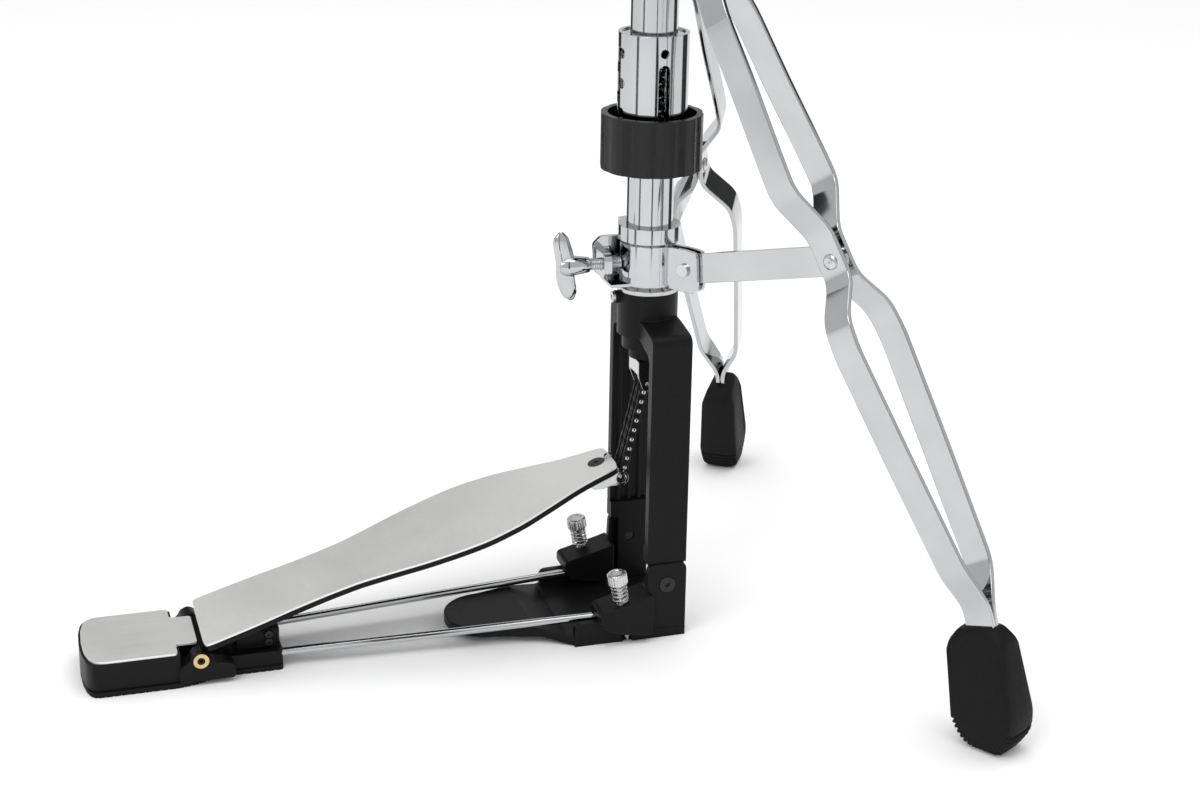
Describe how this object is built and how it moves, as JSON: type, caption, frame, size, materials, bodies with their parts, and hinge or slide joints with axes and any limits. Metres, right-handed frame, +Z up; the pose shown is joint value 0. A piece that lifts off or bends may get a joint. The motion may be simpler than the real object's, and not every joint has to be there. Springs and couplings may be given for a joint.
{
  "type": "hi-hat stand",
  "caption": "Two-leg hi-hat stand with chain-driven footboard, cast frame, tension housing, folding legs, height tube, cymbal seat, pull rod and clutch.",
  "frame": {"origin": "on the floor under the tube axis, in the middle of the base casting's underside", "axes": "+Z up along the tube, the pedal runs towards -Y, the two legs point to +Y on either side, mirrored across the YZ plane"},
  "size_m": [0.4958, 0.5165, 1.14],
  "materials": {
    "cast_black": "fine satin powder coat on a casting",
    "chrome": "polished plating",
    "brushed_aluminium": "brushed, anodised",
    "black_plastic": "satin moulded",
    "black_rubber": "moulded, matt",
    "zinc_steel": "zinc-plated",
    "spring_steel": "drawn wire",
    "black_steel": "black oxide",
    "brass": "turned",
    "felt": "pressed felt"
  },
  "bodies": {
    "frame": {"base_casting": "cast_black", "column_frame": "cast_black", "frame_screws": "black_steel", "collar_screw": "zinc_steel", "lower_tube": "chrome", "tension_housing": "chrome", "tension_spring": "spring_steel", "memory_lock": "chrome", "flange_washer": "chrome", "linkage_rods": "chrome", "heel_casting": "cast_black", "heel_sole": "black_rubber", "heel_plate": "brushed_aluminium", "rod_screws": "black_steel", "hinge_pin": "black_steel", "hinge_bushings": "brass", "height_clamp": "chrome", "clamp_bushing": "black_plastic", "spur_springs": "spring_steel"},
    "footboard": {"footboard_plate": "brushed_aluminium", "footboard_body": "cast_black", "toe_block": "chrome", "toe_screw": "black_steel", "toe_hook": "chrome"},
    "chain": {"chain_inner_links": "black_steel", "chain_outer_links": "black_steel", "chain_rollers": "black_steel", "chain_pins": "zinc_steel"},
    "pull_rod": {"pull_rod": "chrome", "rod_clevis": "chrome", "spring_flange": "zinc_steel"},
    "tension_ring": {"tension_ring": "black_plastic", "ring_cross_pin": "zinc_steel", "spring_carrier": "zinc_steel"},
    "leg_clamp": {"leg_clamp": "chrome", "brace_rivets": "zinc_steel"},
    "clamp_bolt": {"clamp_bolt": "chrome"},
    "upper_collar": {"upper_leg_collar": "chrome", "collar_rivets": "zinc_steel"},
    "right_leg": {"right_front_strap": "chrome", "right_rear_strap": "chrome", "right_leg_rivets": "zinc_steel", "right_foot": "black_rubber"},
    "left_leg": {"left_front_strap": "chrome", "left_rear_strap": "chrome", "left_leg_rivets": "zinc_steel", "left_foot": "black_rubber"},
    "right_brace": {"right_brace": "chrome"},
    "left_brace": {"left_brace": "chrome"},
    "right_spur": {"right_spur": "zinc_steel"},
    "left_spur": {"left_spur": "zinc_steel"},
    "height_bolt": {"height_bolt": "chrome"},
    "upper_tube": {"upper_tube": "chrome", "upper_lock": "chrome", "tilter_base": "chrome"},
    "cymbal_seat": {"cymbal_seat": "chrome", "seat_felt": "felt"},
    "tilt_screw": {"tilt_screw": "zinc_steel"},
    "clutch": {"clutch_body": "chrome", "clutch_felts": "felt"}
  },
  "joints": [
    {"name": "pedal_press", "type": "hinge", "parent": "frame", "child": "footboard", "pos_m": [0, -0.2862, 0.0163], "axis": [1, 0, 0], "range_deg": [-12, 0]},
    {"name": "rod_slide", "type": "slide", "parent": "frame", "child": "pull_rod", "axis": [0, 0, 1], "range_m": [-0.057, 0], "stiffness_N_per_m": 450, "springref_m": 0.03, "deforming": ["tension_spring"]},
    {"name": "chain_swing", "type": "hinge", "parent": "pull_rod", "child": "chain", "pos_m": [0, -0.002, 0.158], "axis": [1, 0, 0], "range_deg": [0, 10.2]},
    {"name": "ring_slide", "type": "slide", "parent": "frame", "child": "tension_ring", "axis": [0, 0, 1], "range_m": [0, 0.03]},
    {"name": "leg_swivel", "type": "hinge", "parent": "frame", "child": "leg_clamp", "pos_m": [0, 0, 0.2367], "axis": [0, 0, 1], "range_deg": [-45, 45]},
    {"name": "clamp_bolt_turn", "type": "hinge", "parent": "leg_clamp", "child": "clamp_bolt", "pos_m": [0, -0.04, 0.2357], "axis": [0, -1, 0], "continuous": true},
    {"name": "collar_fold", "type": "slide", "parent": "leg_clamp", "child": "upper_collar", "axis": [0, 0, 1], "range_m": [0, 0.06]},
    {"name": "right_leg_fold", "type": "hinge", "parent": "upper_collar", "child": "right_leg", "pos_m": [0.02548, 0.01586, 0.43677], "axis": [0.5284, -0.849, 0], "range_deg": [-9, 0]},
    {"name": "right_brace_fold", "type": "hinge", "parent": "leg_clamp", "child": "right_brace", "pos_m": [0.0264, 0.01643, 0.2367], "axis": [0.5284, -0.849, 0], "range_deg": [0, 29]},
    {"name": "left_leg_fold", "type": "hinge", "parent": "upper_collar", "child": "left_leg", "pos_m": [-0.02548, 0.01586, 0.43677], "axis": [0.5284, 0.849, 0], "range_deg": [-9, 0]},
    {"name": "left_brace_fold", "type": "hinge", "parent": "leg_clamp", "child": "left_brace", "pos_m": [-0.0264, 0.01643, 0.2367], "axis": [0.5284, 0.849, 0], "range_deg": [0, 29]},
    {"name": "right_spur_turn", "type": "hinge", "parent": "frame", "child": "right_spur", "pos_m": [0.0449, -0.0226, 0], "axis": [0, -0.1736, 0.9848], "continuous": true},
    {"name": "left_spur_turn", "type": "hinge", "parent": "frame", "child": "left_spur", "pos_m": [-0.0449, -0.0226, 0], "axis": [0, -0.1736, 0.9848], "continuous": true},
    {"name": "height_slide", "type": "slide", "parent": "frame", "child": "upper_tube", "axis": [0, 0, 1], "range_m": [0, 0.1]},
    {"name": "height_bolt_turn", "type": "hinge", "parent": "frame", "child": "height_bolt", "pos_m": [0, -0.04, 0.591], "axis": [0, -1, 0], "continuous": true},
    {"name": "seat_tilt", "type": "hinge", "parent": "upper_tube", "child": "cymbal_seat", "pos_m": [0, 0, 0.861], "axis": [1, 0, 0], "range_deg": [-4, 4]},
    {"name": "tilt_screw_turn", "type": "hinge", "parent": "upper_tube", "child": "tilt_screw", "pos_m": [0, 0.022, 0.85], "axis": [0, 0, 1], "continuous": true},
    {"name": "clutch_slide", "type": "slide", "parent": "pull_rod", "child": "clutch", "axis": [0, 0, 1], "range_m": [-0.05, 0.05]}
  ],
  "couplings": [
    {"joint": "rod_slide", "follows": "pedal_press", "m_per_rad": 0.26576},
    {"joint": "chain_swing", "follows": "pedal_press", "ratio": -0.83423},
    {"joint": "right_leg_fold", "follows": "collar_fold", "rad_per_m": -2.3301},
    {"joint": "right_brace_fold", "follows": "collar_fold", "rad_per_m": 8.0545},
    {"joint": "left_leg_fold", "follows": "collar_fold", "rad_per_m": -2.3301},
    {"joint": "left_brace_fold", "follows": "collar_fold", "rad_per_m": 8.0545}
  ]
}
